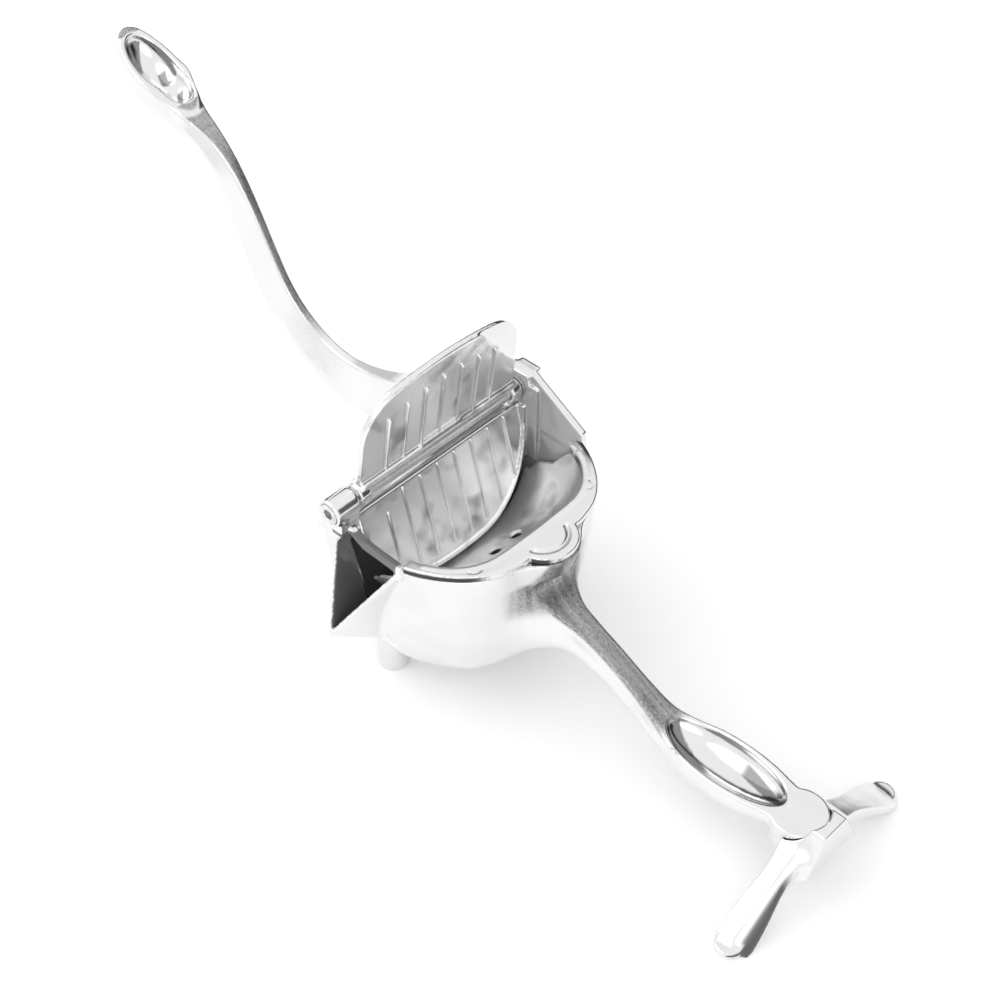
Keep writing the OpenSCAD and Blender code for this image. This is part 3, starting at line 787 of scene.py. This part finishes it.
class Graph:
    """Short hand for building a material's nodes."""

    def __init__(self, name):
        self.material = bpy.data.materials.new(name)
        self.material.use_nodes = True
        self.nodes = self.material.node_tree.nodes
        self.links = self.material.node_tree.links
        self.shader = self.nodes["Principled BSDF"]
        self.coords = self.nodes.new("ShaderNodeTexCoord").outputs["Object"]

    def feed(self, socket, value):
        if isinstance(value, (int, float)):
            socket.default_value = value
        else:
            self.links.new(value, socket)

    def attribute(self, name):
        node = self.nodes.new("ShaderNodeAttribute")
        node.attribute_name = name
        return node.outputs["Fac"]

    def noise(self, scale, detail=3.0, rough=0.5, stretch=(1, 1, 1)):
        mapping = self.nodes.new("ShaderNodeMapping")
        mapping.inputs["Scale"].default_value = stretch
        self.links.new(self.coords, mapping.inputs["Vector"])
        node = self.nodes.new("ShaderNodeTexNoise")
        self.links.new(mapping.outputs[0], node.inputs["Vector"])
        node.inputs["Scale"].default_value = scale
        node.inputs["Detail"].default_value = detail
        node.inputs["Roughness"].default_value = rough
        return node.outputs["Fac"]

    def remap(self, value, low, high, to_low, to_high):
        node = self.nodes.new("ShaderNodeMapRange")
        for key, number in zip(("From Min", "From Max", "To Min", "To Max"), (low, high, to_low, to_high)):
            node.inputs[key].default_value = number
        self.links.new(value, node.inputs["Value"])
        return node.outputs[0]

    def math(self, kind, a, b):
        node = self.nodes.new("ShaderNodeMath")
        node.operation = kind
        self.feed(node.inputs[0], a)
        self.feed(node.inputs[1], b)
        return node.outputs[0]

    def blend(self, share, a, b):
        node = self.nodes.new("ShaderNodeMix")
        self.feed(node.inputs["Factor"], share)
        self.feed(node.inputs["A"], a)
        self.feed(node.inputs["B"], b)
        return node.outputs[0]

    def bump(self, height, strength, distance, normal=None):
        node = self.nodes.new("ShaderNodeBump")
        node.inputs["Distance"].default_value = distance
        self.feed(node.inputs["Strength"], strength)
        self.links.new(height, node.inputs["Height"])
        if normal is not None:
            self.links.new(normal, node.inputs["Normal"])
        return node.outputs[0]

    def finish(self, grey, roughness, normal, metallic=1.0):
        combine = self.nodes.new("ShaderNodeCombineColor")
        for k, tint in enumerate((1.0, 1.0, 1.005)):
            self.links.new(self.math("MULTIPLY", grey, tint), combine.inputs[k])
        self.links.new(combine.outputs[0], self.shader.inputs["Base Color"])
        self.feed(self.shader.inputs["Roughness"], roughness)
        self.links.new(normal, self.shader.inputs["Normal"])
        self.feed(self.shader.inputs["Metallic"], metallic)
        return self.material


def cast_metal(name, bright, gloss):
    """Polished casting, with satin mottled faces and brushed faces where the piece is painted so, darkened
    where its vertices carry painted shade and painted dark reflections.
    """
    g = Graph(name)
    brushed, mottle, tone, matt = (g.attribute(k) for k in ("brushed", "mottle", "tone", "matt"))
    streaks = g.noise(1.0, 5, 0.75, (900, 4200, 900))
    broad = g.noise(1.0, 3, 0.5, (30, 500, 30))
    clouds = g.noise(70, 3)
    spots = g.remap(g.noise(85, 2, 0.4), 0.56, 0.74, 0, 1)
    grain = g.noise(1800, 3, 0.6)
    swell = g.noise(120, 2)

    satin = g.math("SUBTRACT", 0.90, g.math("MULTIPLY", spots, 0.45))
    polished = g.remap(clouds, 0.3, 0.7, bright - 0.03, bright + 0.02)
    lines = g.math("ADD", g.remap(streaks, 0.35, 0.65, 0.1, 0.62), g.remap(broad, 0.35, 0.65, -0.08, 0.1))
    grey = g.blend(brushed, g.blend(mottle, polished, satin), lines)
    # Painted shade and painted dark reflections darken the grey here.
    grey = g.math("MULTIPLY", grey, tone)

    plain = g.remap(clouds, 0.3, 0.7, gloss - 0.03, gloss + 0.06)
    roughness = g.blend(brushed, g.blend(mottle, plain, 0.27), g.remap(streaks, 0.3, 0.7, 0.3, 0.5))

    normal = g.bump(swell, g.blend(mottle, 0.25, 0.8), 0.0004)
    normal = g.bump(grain, 0.12, 0.00006, normal)
    normal = g.bump(streaks, g.math("MULTIPLY", brushed, 0.35), 0.00012, normal)
    # Inner faces are left as cast: they scatter light.
    return g.finish(grey, roughness, normal, g.remap(matt, 0, 1, 1.0, 0.3))


def turned_metal(name, grey, rings, soft):
    """Steel turned on a lathe about the hinge axis: fine rings across the shank."""
    g = Graph(name)
    fine = g.noise(1.0, 5, 0.75, (160, rings, 160))
    broad = g.noise(60, 2)
    shade = g.remap(fine, 0.35, 0.65, grey - 0.25, grey + 0.12)
    roughness = g.remap(broad, 0.3, 0.7, soft - 0.06, soft + 0.06)
    return g.finish(shade, roughness, g.bump(fine, 0.35, 0.0001))


def dress(material, *names):
    for name in names:
        slots = bpy.data.objects[name].material_slots
        if slots:
            for s in slots:
                s.material = material
        else:
            bpy.data.objects[name].data.materials.append(material)


# ---------------------------------------------------------------- stage

VIEW_AZIMUTH, VIEW_ELEVATION = math.radians(43.39), math.radians(43.72)
VIEW_DISTANCE, VIEW_LENS = 727.8, 69.72
AIM_RIGHT, AIM_UP = 24.12, -22.65      # from the hinge to the middle of the view


def make_camera():
    camera = bpy.data.objects.new("camera", bpy.data.cameras.new("camera"))
    bpy.context.scene.collection.objects.link(camera)
    turn = (Matrix.Rotation(VIEW_AZIMUTH, 3, "Z") @ Matrix.Rotation(math.pi / 2 - VIEW_ELEVATION, 3, "X"))
    right, up, back = turn.col
    at = Vector(HINGE) + right * AIM_RIGHT + up * AIM_UP + back * VIEW_DISTANCE
    camera.matrix_world = Matrix.Translation(at / 1000) @ turn.to_4x4()
    camera.data.lens = VIEW_LENS
    camera.data.sensor_width = 36
    camera.data.clip_start = 0.01
    bpy.context.scene.camera = camera


def area_light(name, at, size, power):
    lamp = bpy.data.lights.new(name, "AREA")
    lamp.shape = "DISK"
    lamp.size = size
    lamp.energy = power
    light = bpy.data.objects.new(name, lamp)
    light.location = at
    light.rotation_euler = (-Vector(at)).to_track_quat("-Z", "Y").to_euler()
    bpy.context.scene.collection.objects.link(light)


def make_floor():
    """Large pale floor that glows a little, so that shadows stay faint."""
    half, steps = 3.0, 12
    line = np.linspace(-half, half, steps + 1)
    points = np.array([(x, y, 0.0) for y in line for x in line])
    n = steps + 1
    faces = [(r * n + c, r * n + c + 1, (r + 1) * n + c + 1, (r + 1) * n + c)
             for r in range(steps) for c in range(steps)]
    mesh = bpy.data.meshes.new("floor")
    mesh.from_pydata(points.tolist(), [], faces)
    floor = bpy.data.objects.new("floor", mesh)
    bpy.context.scene.collection.objects.link(floor)
    material = bpy.data.materials.new("pale_floor")
    material.use_nodes = True
    shader = material.node_tree.nodes["Principled BSDF"]
    shader.inputs["Base Color"].default_value = (0.97, 0.97, 0.97, 1)
    shader.inputs["Roughness"].default_value = 0.9
    shader.inputs["Specular IOR Level"].default_value = 0.0
    shader.inputs["Emission Color"].default_value = (1, 1, 1, 1)
    shader.inputs["Emission Strength"].default_value = 0.1
    mesh.materials.append(material)


def make_world():
    """White studio with a dark strip low on one side, which curved metal mirrors."""
    world = bpy.data.worlds.new("studio")
    bpy.context.scene.world = world
    world.use_nodes = True
    nodes, links = world.node_tree.nodes, world.node_tree.links
    coords = nodes.new("ShaderNodeTexCoord").outputs["Generated"]
    split = nodes.new("ShaderNodeSeparateXYZ")
    links.new(coords, split.inputs[0])

    def step(socket, low, high):
        node = nodes.new("ShaderNodeMapRange")
        node.interpolation_type = "SMOOTHSTEP"
        node.inputs["From Min"].default_value = low
        node.inputs["From Max"].default_value = high
        links.new(socket, node.inputs["Value"])
        return node.outputs[0]

    def times(a, b):
        node = nodes.new("ShaderNodeMath")
        node.operation = "MULTIPLY"
        links.new(a, node.inputs[0])
        links.new(b, node.inputs[1])
        return node.outputs[0]

    strip = times(step(split.outputs["Z"], -0.12, 0.02), step(split.outputs["Z"], 0.62, 0.48))
    strip = times(strip, step(split.outputs["Y"], 0.2, 0.45))
    shade = nodes.new("ShaderNodeMapRange")
    shade.inputs["To Min"].default_value = 1.0
    shade.inputs["To Max"].default_value = 0.08
    links.new(strip, shade.inputs["Value"])
    path = nodes.new("ShaderNodeLightPath")
    seen = nodes.new("ShaderNodeMix")
    links.new(path.outputs["Is Camera Ray"], seen.inputs["Factor"])
    links.new(shade.outputs[0], seen.inputs["A"])
    seen.inputs["B"].default_value = 1.0
    links.new(seen.outputs[0], nodes["Background"].inputs["Strength"])
    nodes["Background"].inputs["Color"].default_value = (1, 1, 1, 1)


# ---------------------------------------------------------------- everything

bowl = make_bowl()
strainer = make_strainer()
lever = make_lever()
foot = make_foot()
ribs = [wall_ribs(), plate_ribs()]

dress(cast_metal("cast_polished", 0.83, 0.12), bowl.name, lever.name, ribs[0].name, ribs[1].name)
dress(cast_metal("cast_satin", 0.84, 0.2), strainer.name, foot.name)
dress(turned_metal("turned_rod", 0.82, 3500, 0.34), "hinge_bolt")
dress(turned_metal("fastener_steel", 0.75, 900, 0.2), "near_washer", "far_washer", "foot_screw")

make_camera()
make_floor()
make_world()
area_light("key", (-0.6, -0.5, 1.1), 1.4, 3.6)
area_light("fill", (0.7, -0.8, 0.8), 1.0, 1.5)
bpy.context.scene.view_settings.view_transform = "Standard"
